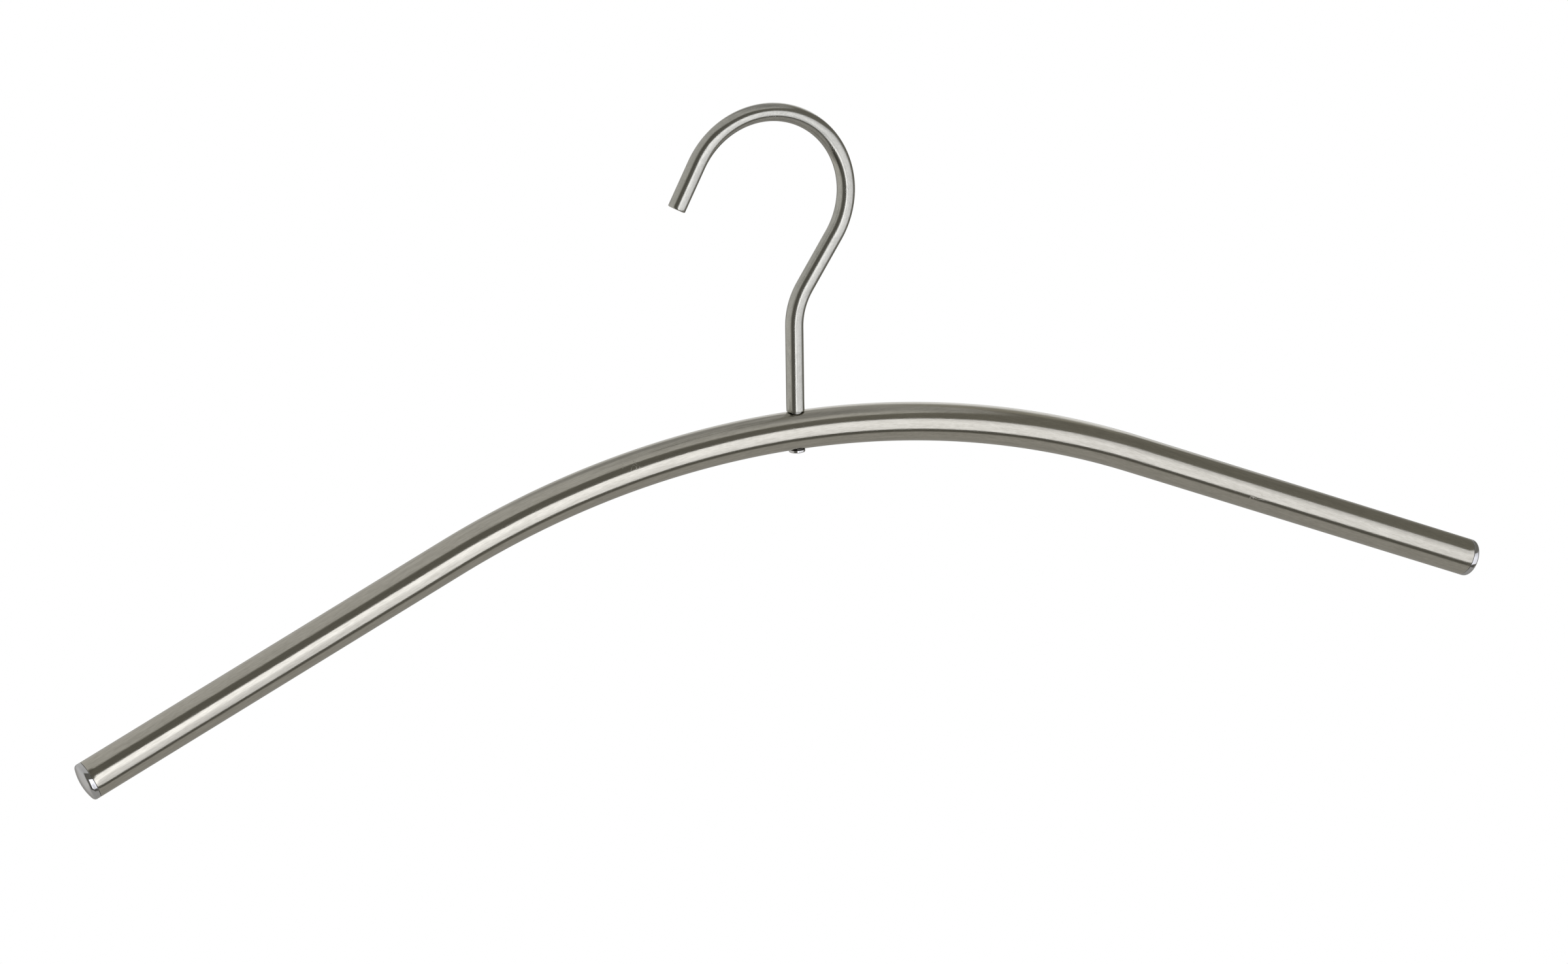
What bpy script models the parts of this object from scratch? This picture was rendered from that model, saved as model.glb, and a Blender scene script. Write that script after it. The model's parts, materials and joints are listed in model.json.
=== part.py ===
"""Metal hanger: a bent stainless tube closed by two polished caps, and a bent rod hook
that swivels on a screw and a bush at the tube's crown.

Lengths are in metres, +Z is up and the hanger lies in the XZ plane. The origin is the
inside of the hook at the top of its loop, where the rail carries it.
"""
import math

import bmesh
import bpy
from mathutils import Vector

# Arch: a round tube bent to one arc, with a straight arm at each end
TUBE_DIAMETER = 0.0120
TUBE_WALL = 0.0010
ARCH_RADIUS = 0.2880
ARCH_HALF_ANGLE = math.radians(23.5)
ARM_LENGTH = 0.1290

# Hook: a round rod. Its foot stands on the swivel's axis, the stem leans slightly to +X, the
# neck leans further, and the loop comes back. The angles are measured from upright.
ROD_DIAMETER = 0.0057
ROD_CHAMFER = 0.0004
FOOT_LENGTH = 0.0010
STEM_LENGTH = 0.0267
STEM_LEAN = math.radians(1.5)
LEAN_BEND_RADIUS = 0.0955
NECK_BEND_RADIUS = 0.0223
NECK_ANGLE = math.radians(34.6)
NECK_LENGTH = 0.0182
LOOP_RADIUS = 0.0262
LOOP_ANGLE = math.radians(185.5)
TAIL_LENGTH = 0.0149

# Swivel: the rod's foot and the screw's head close on the ends of a bush, and the tube
# turns round the bush between them
SCREW_DIAMETER = 0.0030
SCREW_ENGAGEMENT = 0.0080
SCREW_TIP_CHAMFER = 0.0003
SCREW_HEAD_RIM = 0.00045
SCREW_HEAD_HEIGHT = 0.00075
SCREW_HEAD_ROUNDING = 0.0005
SOCKET_WIDTH = 0.0015
SOCKET_DEPTH = 0.0011
BUSH_WALL = 0.0005
BUSH_STANDOUT = 0.00005
DRILL_OVERRUN = 0.0010

# End caps: a domed lip outside the tube, and a spigot pushed into its bore
CAP_OVERHANG = 0.0001
CAP_SIDE_LENGTH = 0.0011
CAP_EDGE_RADIUS = 0.0011
CAP_CROWN_RISE = 0.0008
SPIGOT_LENGTH = 0.0080
SPIGOT_CHAMFER = 0.0006

# Clearances
RUNNING_CLEARANCE = 0.00010
SCREW_CLEARANCE = 0.00010
SPIGOT_CLEARANCE = 0.00010
SEAT_GAP = 0.00010
SEAM_GAP = 0.00020

# How far a cutter runs past the face that it opens, and the distance that welds a seam
CUT_OVERRUN = 0.0020
WELD_DISTANCE = 0.0000001

# Facets
TUBE_SIDES = 28
ARCH_STEPS = 24
ARM_STEPS = 3
ROD_SIDES = 20
NECK_STEPS = 6
LOOP_STEPS = 32
TURNED_STEPS = 32
DOME_STEPS = 5
EDGE_STEPS = 5
SOCKET_SIDES = 6
SHARP_ANGLE = math.radians(25.0)

# Sizes that follow from the ones above
tube_radius = TUBE_DIAMETER / 2
bore_radius = tube_radius - TUBE_WALL
rod_radius = ROD_DIAMETER / 2
screw_radius = SCREW_DIAMETER / 2
bush_bore_radius = screw_radius + SCREW_CLEARANCE
bush_radius = bush_bore_radius + BUSH_WALL
bush_length = TUBE_DIAMETER + 2 * BUSH_STANDOUT
seat_height = bush_length / 2 + SEAT_GAP


def walk(start, heading, moves):
    """Points of a chain of straights and arcs in the XZ plane.

    A move is (length or radius, turn, steps). With no turn it is a straight of that length,
    and otherwise an arc of that radius, to the left for a positive turn.
    """
    points = [Vector(start)]
    for size, turn, steps in moves:
        for _ in range(steps):
            if turn == 0:
                reach = size / steps
            else:
                reach = 2 * size * math.sin(abs(turn) / steps / 2)
            heading += turn / steps / 2
            points.append(points[-1] + reach * Vector((math.cos(heading), math.sin(heading))))
            heading += turn / steps / 2
    return points


def arch_end():
    """The middle of the tube's end on the +X side, seen from the crown's centre line."""
    x = ARCH_RADIUS * math.sin(ARCH_HALF_ANGLE) + ARM_LENGTH * math.cos(ARCH_HALF_ANGLE)
    drop = ARCH_RADIUS * (1 - math.cos(ARCH_HALF_ANGLE)) + ARM_LENGTH * math.sin(ARCH_HALF_ANGLE)
    return x, -drop


def arch_path(overrun):
    """The tube's centre line from -X to +X, longer by the overrun at both ends."""
    x, z = arch_end()
    start = (
        -x - overrun * math.cos(ARCH_HALF_ANGLE),
        z - overrun * math.sin(ARCH_HALF_ANGLE),
    )
    arm = ARM_LENGTH + overrun
    return walk(
        start,
        ARCH_HALF_ANGLE,
        [(arm, 0, ARM_STEPS), (ARCH_RADIUS, -2 * ARCH_HALF_ANGLE, ARCH_STEPS), (arm, 0, ARM_STEPS)],
    )


def stem_moves(neck_steps):
    """The moves from the foot to the end of the neck's bend."""
    leaning_length = STEM_LENGTH - FOOT_LENGTH - LEAN_BEND_RADIUS * STEM_LEAN
    return [
        (ROD_CHAMFER, 0, 1),
        (FOOT_LENGTH - ROD_CHAMFER, 0, 1),
        (LEAN_BEND_RADIUS, -STEM_LEAN, 1),
        (leaning_length, 0, 1),
        (NECK_BEND_RADIUS, STEM_LEAN - NECK_ANGLE, neck_steps),
    ]


def hook_path():
    """The rod's centre line from its foot to the tip, seen from the middle of the foot."""
    return walk(
        (0, 0),
        math.pi / 2,
        [
            *stem_moves(NECK_STEPS),
            (NECK_LENGTH, 0, 1),
            (LOOP_RADIUS, LOOP_ANGLE, LOOP_STEPS),
            (TAIL_LENGTH - ROD_CHAMFER, 0, 1),
            (ROD_CHAMFER, 0, 1),
        ],
    )


def rail_seat():
    """The inside of the loop at its top, seen from the middle of the rod's foot."""
    x, z = walk((0, 0), math.pi / 2, stem_moves(1))[-1]
    x += NECK_LENGTH * math.sin(NECK_ANGLE) - LOOP_RADIUS * math.cos(NECK_ANGLE)
    z += NECK_LENGTH * math.cos(NECK_ANGLE) + LOOP_RADIUS * math.sin(NECK_ANGLE)
    return x, z + LOOP_RADIUS - rod_radius


seat_x, seat_z = rail_seat()
foot_place = Vector((-seat_x, 0, -seat_z))
crown_place = foot_place - Vector((0, 0, seat_height))


def clear_scene():
    for obj in list(bpy.data.objects):
        bpy.data.objects.remove(obj, do_unlink=True)


def new_collection(name):
    collection = bpy.data.collections.new(name)
    bpy.context.scene.collection.children.link(collection)
    return collection


def new_material(name, colour, roughness, metallic):
    material = bpy.data.materials.new(name)
    material.use_nodes = True
    shader = material.node_tree.nodes["Principled BSDF"]
    shader.inputs["Base Color"].default_value = (*colour, 1)
    shader.inputs["Roughness"].default_value = roughness
    shader.inputs["Metallic"].default_value = metallic
    material.diffuse_color = (*colour, 1)
    return material


def new_object(name, data, collection, place):
    obj = bpy.data.objects.new(name, data)
    collection.objects.link(obj)
    obj.location = place
    return obj


def settle(obj):
    """Applies what shapes the object, welds its seams and shades it smooth up to its edges."""
    bpy.context.view_layer.update()
    graph = bpy.context.evaluated_depsgraph_get()
    mesh = bpy.data.meshes.new_from_object(obj.evaluated_get(graph))
    mesh.name = obj.name
    shape = bmesh.new()
    shape.from_mesh(mesh)
    bmesh.ops.remove_doubles(shape, verts=shape.verts, dist=WELD_DISTANCE)
    shape.to_mesh(mesh)
    shape.free()
    mesh.shade_smooth()
    mesh.set_sharp_from_angle(angle=SHARP_ANGLE)
    return mesh


def round_bar(name, points, shares, radius, sides, collection, place):
    """A round bar along points of the XZ plane; each share is the radius there, of the full one."""
    curve = bpy.data.curves.new(name + "_path", "CURVE")
    curve.dimensions = "3D"
    curve.bevel_depth = radius
    curve.bevel_resolution = sides // 2 - 2
    curve.use_fill_caps = True
    spline = curve.splines.new("POLY")
    spline.points.add(len(points) - 1)
    for point, (x, z), share in zip(spline.points, points, shares):
        point.co = (x, 0, z, 1)
        point.radius = share
    guide = new_object(name + "_path", curve, collection, place)
    mesh = settle(guide)
    bar = new_object(name, mesh, collection, (0, 0, 0))
    bar.matrix_world = guide.matrix_world
    bpy.data.objects.remove(guide)
    bpy.data.curves.remove(curve)
    return bar


def turned(name, profile, collection, place, ring=False):
    """A profile of (radius, height) points, from top to bottom, turned about the Z axis."""
    mesh = bpy.data.meshes.new(name + "_profile")
    shape = bmesh.new()
    corners = [shape.verts.new((radius, 0, height)) for radius, height in profile]
    for first, second in zip(corners, corners[1:]):
        shape.edges.new((first, second))
    if ring:
        shape.edges.new((corners[-1], corners[0]))
    shape.to_mesh(mesh)
    shape.free()
    obj = new_object(name, mesh, collection, place)
    turn = obj.modifiers.new("Turn", "SCREW")
    turn.axis = "Z"
    turn.steps = TURNED_STEPS
    turn.render_steps = TURNED_STEPS
    turn.use_merge_vertices = True
    turn.merge_threshold = WELD_DISTANCE
    return obj


def drill(name, radius, depth, sides, collection, place):
    """An upright cutter whose lower end is at the given place."""
    middle = Vector(place) + Vector((0, 0, depth / 2))
    bpy.ops.mesh.primitive_cylinder_add(vertices=sides, radius=radius, depth=depth, location=middle)
    cutter = bpy.context.object
    cutter.name = name
    for home in list(cutter.users_collection):
        home.objects.unlink(cutter)
    collection.objects.link(cutter)
    return cutter


def cut(obj, *cutters):
    """Takes the cutters away from the object, for good, and keeps them hidden."""
    for cutter in cutters:
        cutter.hide_render = True
        cutter.display_type = "WIRE"
        hollow = obj.modifiers.new(cutter.name, "BOOLEAN")
        hollow.operation = "DIFFERENCE"
        hollow.solver = "EXACT"
        hollow.object = cutter
    finish(obj)


def finish(obj):
    """Replaces the object's mesh by its finished one, and drops the modifiers that made it."""
    mesh = settle(obj)
    rough = obj.data
    obj.modifiers.clear()
    obj.data = mesh
    bpy.data.meshes.remove(rough)


def paint(obj, material):
    obj.data.materials.clear()
    obj.data.materials.append(material)


def arc(centre, radius, start, end, steps):
    """Points (radius, height) of an arc; the angle runs from the axis, 0, out to the side."""
    angles = [start + (end - start) * step / steps for step in range(steps + 1)]
    return [(centre[0] + radius * math.sin(a), centre[1] + radius * math.cos(a)) for a in angles]


def make_arch_tube(parts, cutters, pivot):
    """The bent tube, its bore and the cross hole that runs round the bush."""
    path = arch_path(0)
    tube = round_bar(
        "arch_tube", path, [1] * len(path), tube_radius, TUBE_SIDES, parts, crown_place
    )
    path = arch_path(CUT_OVERRUN)
    bore = round_bar(
        "tube_bore", path, [1] * len(path), bore_radius, TUBE_SIDES, cutters, crown_place
    )
    cross_hole = drill(
        "tube_cross_hole",
        bush_radius + RUNNING_CLEARANCE,
        TUBE_DIAMETER + 2 * CUT_OVERRUN,
        TURNED_STEPS,
        cutters,
        crown_place - Vector((0, 0, tube_radius + CUT_OVERRUN)),
    )
    cut(tube, bore, cross_hole)
    hang_on(tube, pivot)
    paint(tube, new_material("brushed_tube", (0.52, 0.51, 0.47), 0.32, 1.0))


def make_end_cap(name, side, parts, pivot):
    """A turned cap. The side is 1 at the +X end and -1 at the other."""
    lip_radius = tube_radius + CAP_OVERHANG
    spigot_radius = bore_radius - SPIGOT_CLEARANCE
    shoulder = SEAM_GAP + CAP_SIDE_LENGTH
    edge_middle = lip_radius - CAP_EDGE_RADIUS
    height = CAP_EDGE_RADIUS + CAP_CROWN_RISE
    # The dome is the ball that touches the edge's rounding and stands this high over it
    ball = (edge_middle**2 + height**2 - CAP_EDGE_RADIUS**2) / (2 * CAP_CROWN_RISE)
    meet = math.atan2(edge_middle, ball - height)
    dome = arc((0, shoulder + height - ball), ball, 0, meet, DOME_STEPS)
    edge = arc((edge_middle, shoulder), CAP_EDGE_RADIUS, meet, math.pi / 2, EDGE_STEPS)
    profile = dome + edge[1:] + [
        (lip_radius, SEAM_GAP),
        (spigot_radius, SEAM_GAP),
        (spigot_radius, SPIGOT_CHAMFER - SPIGOT_LENGTH),
        (spigot_radius - SPIGOT_CHAMFER, -SPIGOT_LENGTH),
        (0, -SPIGOT_LENGTH),
    ]
    x, z = arch_end()
    cap = turned(name, profile, parts, crown_place + Vector((side * x, 0, z)))
    cap.rotation_euler = (0, side * (math.pi / 2 + ARCH_HALF_ANGLE), 0)
    finish(cap)
    hang_on(cap, pivot)
    paint(cap, new_material(name + "_polish", (0.62, 0.62, 0.64), 0.08, 1.0))


def make_hook_rod(parts, cutters):
    """The bent rod, chamfered at foot and tip, with the screw's blind hole in its foot."""
    path = hook_path()
    end_share = 1 - ROD_CHAMFER / rod_radius
    shares = [end_share] + [1] * (len(path) - 2) + [end_share]
    rod = round_bar("hook_rod", path, shares, rod_radius, ROD_SIDES, parts, foot_place)
    hole = drill(
        "rod_hole",
        screw_radius + SCREW_CLEARANCE,
        CUT_OVERRUN + SCREW_ENGAGEMENT + DRILL_OVERRUN,
        TURNED_STEPS,
        cutters,
        foot_place - Vector((0, 0, CUT_OVERRUN)),
    )
    cut(rod, hole)
    paint(rod, new_material("satin_rod", (0.55, 0.55, 0.54), 0.25, 1.0))


def make_swivel_bush(parts):
    """The sleeve that the tube turns on."""
    profile = [
        (bush_radius, bush_length / 2),
        (bush_radius, -bush_length / 2),
        (bush_bore_radius, -bush_length / 2),
        (bush_bore_radius, bush_length / 2),
    ]
    bush = turned("swivel_bush", profile, parts, crown_place, ring=True)
    finish(bush)
    paint(bush, new_material("bush_steel", (0.52, 0.52, 0.50), 0.30, 1.0))


def make_fixing_screw(parts, cutters):
    """The screw, head down, with its bearing face under the bush."""
    head_radius = bush_radius + SCREW_HEAD_RIM
    shank = 2 * seat_height + SCREW_ENGAGEMENT
    rounding = arc(
        (head_radius - SCREW_HEAD_ROUNDING, SCREW_HEAD_ROUNDING - SCREW_HEAD_HEIGHT),
        SCREW_HEAD_ROUNDING,
        math.pi / 2,
        math.pi,
        EDGE_STEPS,
    )
    profile = [
        (0, shank),
        (screw_radius - SCREW_TIP_CHAMFER, shank),
        (screw_radius, shank - SCREW_TIP_CHAMFER),
        (screw_radius, 0),
        (head_radius, 0),
        *rounding,
        (0, -SCREW_HEAD_HEIGHT),
    ]
    place = crown_place - Vector((0, 0, seat_height))
    screw = turned("fixing_screw", profile, parts, place)
    socket = drill(
        "screw_socket",
        SOCKET_WIDTH / 2 / math.cos(math.pi / SOCKET_SIDES),
        CUT_OVERRUN + SOCKET_DEPTH,
        SOCKET_SIDES,
        cutters,
        place - Vector((0, 0, SCREW_HEAD_HEIGHT + CUT_OVERRUN)),
    )
    cut(screw, socket)
    paint(screw, new_material("screw_polish", (0.60, 0.60, 0.61), 0.12, 1.0))


def hang_on(obj, pivot):
    """Parents the object to the pivot and leaves it where it stands."""
    bpy.context.view_layer.update()
    obj.parent = pivot
    obj.matrix_parent_inverse = pivot.matrix_world.inverted()


def main():
    clear_scene()
    parts = new_collection("metal_hanger")
    cutters = new_collection("cutters")
    pivot = new_object("swivel_axis", None, parts, crown_place)
    make_hook_rod(parts, cutters)
    make_fixing_screw(parts, cutters)
    make_swivel_bush(parts)
    make_arch_tube(parts, cutters, pivot)
    make_end_cap("end_cap_left", -1, parts, pivot)
    make_end_cap("end_cap_right", 1, parts, pivot)


main()
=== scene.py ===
"""Metal hanger: an arched stainless tube with two polished end caps, on a rod hook that swivels at its crown.

Lengths are in metres. The hanger lies in the XZ plane and is seen from -Y. The origin is on the inside of the
hook, at the top of its loop.
"""
import json
import math

import bmesh
import bpy
import numpy as np
from mathutils import Matrix, Vector


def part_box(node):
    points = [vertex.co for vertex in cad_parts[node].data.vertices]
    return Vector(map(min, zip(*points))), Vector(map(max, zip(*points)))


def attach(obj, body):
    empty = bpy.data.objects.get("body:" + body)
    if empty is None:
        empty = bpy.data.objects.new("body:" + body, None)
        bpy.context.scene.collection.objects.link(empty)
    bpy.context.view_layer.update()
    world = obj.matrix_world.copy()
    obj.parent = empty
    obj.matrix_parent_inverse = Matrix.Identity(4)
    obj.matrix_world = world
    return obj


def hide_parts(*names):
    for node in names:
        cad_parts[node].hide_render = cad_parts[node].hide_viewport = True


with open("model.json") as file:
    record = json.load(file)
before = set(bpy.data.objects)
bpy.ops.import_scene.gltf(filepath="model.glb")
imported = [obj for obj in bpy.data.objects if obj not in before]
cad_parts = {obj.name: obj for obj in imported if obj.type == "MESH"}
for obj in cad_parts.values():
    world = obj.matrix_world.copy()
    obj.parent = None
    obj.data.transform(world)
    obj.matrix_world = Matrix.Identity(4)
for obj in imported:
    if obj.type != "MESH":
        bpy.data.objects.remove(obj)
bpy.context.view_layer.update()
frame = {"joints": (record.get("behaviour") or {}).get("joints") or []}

# The camera
# A long lens, a little above the hanger and to its left, rolled slightly to the left as a hand-levelled
# camera is. Azimuth is 0 straight in front and grows towards the hanger's right end.
LENS = 158.218
LOOK_AT = Vector((0.00097, -0.00220, -0.11345))
LOOK_FROM = 2.12564
LOOK_AZIMUTH = math.radians(-22.859)
LOOK_ELEVATION = math.radians(15.503)
LOOK_ROLL = math.radians(-2.190)


def heading(azimuth, elevation):
    """Unit vector out from the hanger: (sin a cos e, -cos a cos e, sin e)."""
    level = np.cos(elevation)
    return np.stack((np.sin(azimuth) * level, -np.cos(azimuth) * level, np.sin(elevation)), axis=-1)


back = Vector(heading(LOOK_AZIMUTH, LOOK_ELEVATION))
level_right = Vector((math.cos(LOOK_AZIMUTH), math.sin(LOOK_AZIMUTH), 0))
level_up = back.cross(level_right)
right = math.cos(LOOK_ROLL) * level_right + math.sin(LOOK_ROLL) * level_up
up = back.cross(right)
turn = Matrix((right, up, back)).transposed()
camera = bpy.data.objects.new("camera", bpy.data.cameras.new("camera"))
camera.data.lens = LENS
camera.matrix_world = Matrix.LocRotScale(LOOK_AT + LOOK_FROM * back, turn, None)
bpy.context.scene.collection.objects.link(camera)
bpy.context.scene.camera = camera
bpy.context.scene.view_settings.view_transform = "Standard"

# White surroundings
# The photographer's white backdrop: plain white to the camera and to the metal, and a softer level where
# it only lights the floor.
WHITE = 1.0
FILL_LIGHT = 0.75


def add(tree, kind, **values):
    """A new node of that kind. A value goes to the node's own setting of that name, or else to its input."""
    made = tree.nodes.new(kind)
    for key, value in values.items():
        if hasattr(made, key):
            setattr(made, key, value)
        else:
            made.inputs[key.replace("_", " ")].default_value = value
    return made


world = bpy.data.worlds.new("white_surroundings")
bpy.context.scene.world = world
world.use_nodes = True
tree = world.node_tree
tree.nodes.clear()
path = add(tree, "ShaderNodeLightPath")
seen = add(tree, "ShaderNodeMath", operation="MAXIMUM")
shown = add(tree, "ShaderNodeMath", operation="MAXIMUM")
strength = add(tree, "ShaderNodeMapRange", To_Min=FILL_LIGHT, To_Max=WHITE)
light = add(tree, "ShaderNodeBackground", Color=(1, 1, 1, 1))
sink = add(tree, "ShaderNodeOutputWorld")
tree.links.new(path.outputs["Is Camera Ray"], seen.inputs[0])
tree.links.new(path.outputs["Is Glossy Ray"], seen.inputs[1])
tree.links.new(seen.outputs[0], shown.inputs[0])
tree.links.new(path.outputs["Is Transmission Ray"], shown.inputs[1])
tree.links.new(shown.outputs[0], strength.inputs["Value"])
tree.links.new(strength.outputs["Result"], light.inputs["Strength"])
tree.links.new(light.outputs["Background"], sink.inputs["Surface"])

# The floor
# A pale round floor well below the hanging hanger. It thins out to the white around it, so that no edge
# shows, and it takes the hanger's soft shadow from the lamp high in front.
FLOOR_HEIGHT = -1.60
FLOOR_RADIUS = 3.2
FLOOR_PINHOLE = 0.001
FLOOR_FADE_FROM = 1.3
FLOOR_RINGS = 48
FLOOR_SIDES = 96
FLOOR_COLOUR = (0.80, 0.795, 0.78, 1)


def grid_mesh(name, points, closed=False):
    """A mesh over a grid of points, rows by columns: each face joins a point, the next one in its row, and
    the two after them in the next row. When closed, the last column is joined to the first."""
    rows, columns = points.shape[:2]
    index = np.arange(rows * columns).reshape(rows, columns)
    if closed:
        index = np.concatenate((index, index[:, :1]), axis=1)
    corners = (index[:-1, :-1], index[:-1, 1:], index[1:, 1:], index[1:, :-1])
    faces = np.stack(corners, axis=-1).reshape(-1, 4)
    mesh = bpy.data.meshes.new(name)
    mesh.vertices.add(rows * columns)
    mesh.vertices.foreach_set("co", points.reshape(-1).astype(np.float32))
    mesh.loops.add(faces.size)
    mesh.loops.foreach_set("vertex_index", faces.reshape(-1).astype(np.int32))
    mesh.polygons.add(len(faces))
    mesh.polygons.foreach_set("loop_start", np.arange(0, faces.size, 4, dtype=np.int32))
    mesh.update(calc_edges=True)
    return mesh


def new_object(name, mesh, material):
    """Puts the mesh into the scene as an object at the origin, in that material, shaded smooth."""
    made = bpy.data.objects.new(name, mesh)
    bpy.context.scene.collection.objects.link(made)
    mesh.materials.append(material)
    mesh.shade_smooth()
    return made


def new_material(name):
    """An empty material, its node tree and its output node."""
    made = bpy.data.materials.new(name)
    made.use_nodes = True
    made.node_tree.nodes.clear()
    return made, made.node_tree, made.node_tree.nodes.new("ShaderNodeOutputMaterial")


floor_paint, tree, sink = new_material("pale_floor")
place = add(tree, "ShaderNodeTexCoord")
distance = add(tree, "ShaderNodeVectorMath", operation="LENGTH")
fade = add(tree, "ShaderNodeMapRange", interpolation_type="SMOOTHSTEP")
fade.inputs["From Min"].default_value = FLOOR_FADE_FROM
fade.inputs["From Max"].default_value = FLOOR_RADIUS
paint = add(tree, "ShaderNodeBsdfDiffuse", Color=FLOOR_COLOUR)
clear = add(tree, "ShaderNodeBsdfTransparent")
blend = add(tree, "ShaderNodeMixShader")
centre = add(tree, "ShaderNodeVectorMath", operation="MULTIPLY")
centre.inputs[1].default_value = (1, 1, 0)
tree.links.new(place.outputs["Object"], centre.inputs[0])
tree.links.new(centre.outputs[0], distance.inputs[0])
tree.links.new(distance.outputs["Value"], fade.inputs["Value"])
tree.links.new(fade.outputs["Result"], blend.inputs[0])
tree.links.new(paint.outputs[0], blend.inputs[1])
tree.links.new(clear.outputs[0], blend.inputs[2])
tree.links.new(blend.outputs[0], sink.inputs["Surface"])
# The rings run from a pinhole in the middle out to the rim
reach = np.linspace(FLOOR_PINHOLE, FLOOR_RADIUS, FLOOR_RINGS)[:, None]
around = np.linspace(0, 2 * math.pi, FLOOR_SIDES, endpoint=False)[None, :]
disc = np.stack(np.broadcast_arrays(reach * np.cos(around), reach * np.sin(around), FLOOR_HEIGHT), axis=-1)
floor = new_object("pale_floor", grid_mesh("pale_floor", disc, closed=True), floor_paint)

# The lamp
# A square soft lamp high in front of the hanger lights the floor and gives the soft shadow there. What the
# metal shows of the lights is the softbox below.
LAMP_SIZE = 1.6
LAMP_POWER = 26.0
LAMP_PLACE = Vector((-0.5, -1.2, 2.1))
lamp = bpy.data.objects.new("soft_lamp", bpy.data.lights.new("soft_lamp", "AREA"))
lamp.data.size = LAMP_SIZE
lamp.data.energy = LAMP_POWER
lamp.matrix_world = Matrix.LocRotScale(LAMP_PLACE, (LAMP_PLACE - LOOK_AT).to_track_quat("Z", "Y"), None)
lamp.visible_camera = False
lamp.visible_glossy = False
bpy.context.scene.collection.objects.link(lamp)

# The softbox and the grey tent
# The hanger was lit by one wide softbox in front, with dark cloth round it, inside a grey tent that is open
# to the white backdrop behind. These sheets are what the metal mirrors; they face the hanger on all sides,
# and only glossy rays meet them.
SHEET_DROP = 1.35
NO_DROP = 1e-6


def ramp(value, low, high):
    """0 up to low, 1 from high on, and between them the smooth step t t (3 - 2 t)."""
    share = np.clip((value - low) / (high - low), 0, 1)
    return share * share * (3 - 2 * share)


def soft(place, softness):
    """The span of a soft edge at that place: from softness before it to softness after it."""
    return place - softness, place + softness


def bell(value, middle, width):
    """A bell curve of height 1: exp(-t t), where t is how many widths the value lies from the middle."""
    return np.exp(-(((value - middle) / width) ** 2))


def patch(azimuth, elevation, left=None, right=None, foot=None, top=None):
    """How much a soft-edged patch covers each point of a sheet, from 0 to 1: a ramp up over each of the spans
    left and foot, times a ramp down over each of right and top. A span is two values in degrees, and without
    one the patch runs on to that side."""
    cover = np.ones_like(azimuth)
    for value, rising, falling in ((azimuth, left, right), (elevation, foot, top)):
        if rising:
            cover = cover * ramp(value, *rising)
        if falling:
            cover = cover * (1 - ramp(value, *falling))
    return cover


def laid_over(under, over, cover):
    """What shows where over covers under by that share: under + (over - under) cover."""
    return under + (over - under) * cover


def degrees_from(azimuth, middle):
    """How far round the hanger the azimuth lies from the middle, to either side, from 0 to 180 degrees."""
    return np.abs((azimuth - middle + 180) % 360 - 180)


def sheet_grid(left, right, foot, top, step):
    """The azimuth and the elevation at each point of a sheet's grid, in degrees, with both ends included."""
    around = np.arange(left, right + step / 2, step)
    upward = np.arange(foot, top + step / 2, step)
    return np.meshgrid(around, upward, indexing="ij")


def set_attribute(mesh, name, kind, field, values):
    """Gives the mesh's points a new attribute of that name and kind, with these values in its field."""
    made = mesh.attributes.new(name, kind, "POINT")
    made.data.foreach_set(field, values.astype(np.float32).ravel())


def mirrored_sheet(name, radius, azimuth, elevation, glow, tint, cover):
    """A sheet bent to a sphere round the hanger, and flat where the sphere would go below SHEET_DROP: the
    heading times the radius, or times SHEET_DROP over how steeply the heading points down. Azimuth and
    elevation are its rows and columns in degrees; glow is how bright it is there, tint its three colour
    shares, and cover how solid it is, from 0 to 1."""
    out = heading(np.radians(azimuth), np.radians(elevation))
    reach = np.minimum(radius, SHEET_DROP / np.maximum(-out[..., 2:], NO_DROP))
    sheet = new_object(name, grid_mesh(name, np.array(LOOK_AT) + reach * out), sheet_light)
    colour = np.concatenate((glow[..., None] * tint, np.ones(glow.shape + (1,))), axis=-1)
    set_attribute(sheet.data, "glow", "FLOAT_COLOR", "color", colour)
    set_attribute(sheet.data, "cover", "FLOAT", "value", cover)
    sheet.visible_camera = False
    sheet.visible_diffuse = False
    sheet.visible_transmission = False
    sheet.visible_shadow = False


sheet_light, tree, sink = new_material("sheet_light")
glow_colour = add(tree, "ShaderNodeAttribute", attribute_name="glow")
solid = add(tree, "ShaderNodeAttribute", attribute_name="cover")
shine = add(tree, "ShaderNodeEmission")
clear = add(tree, "ShaderNodeBsdfTransparent")
blend = add(tree, "ShaderNodeMixShader")
tree.links.new(glow_colour.outputs["Color"], shine.inputs["Color"])
tree.links.new(solid.outputs["Fac"], blend.inputs[0])
tree.links.new(clear.outputs[0], blend.inputs[1])
tree.links.new(shine.outputs[0], blend.inputs[2])
tree.links.new(blend.outputs[0], sink.inputs["Surface"])

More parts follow.
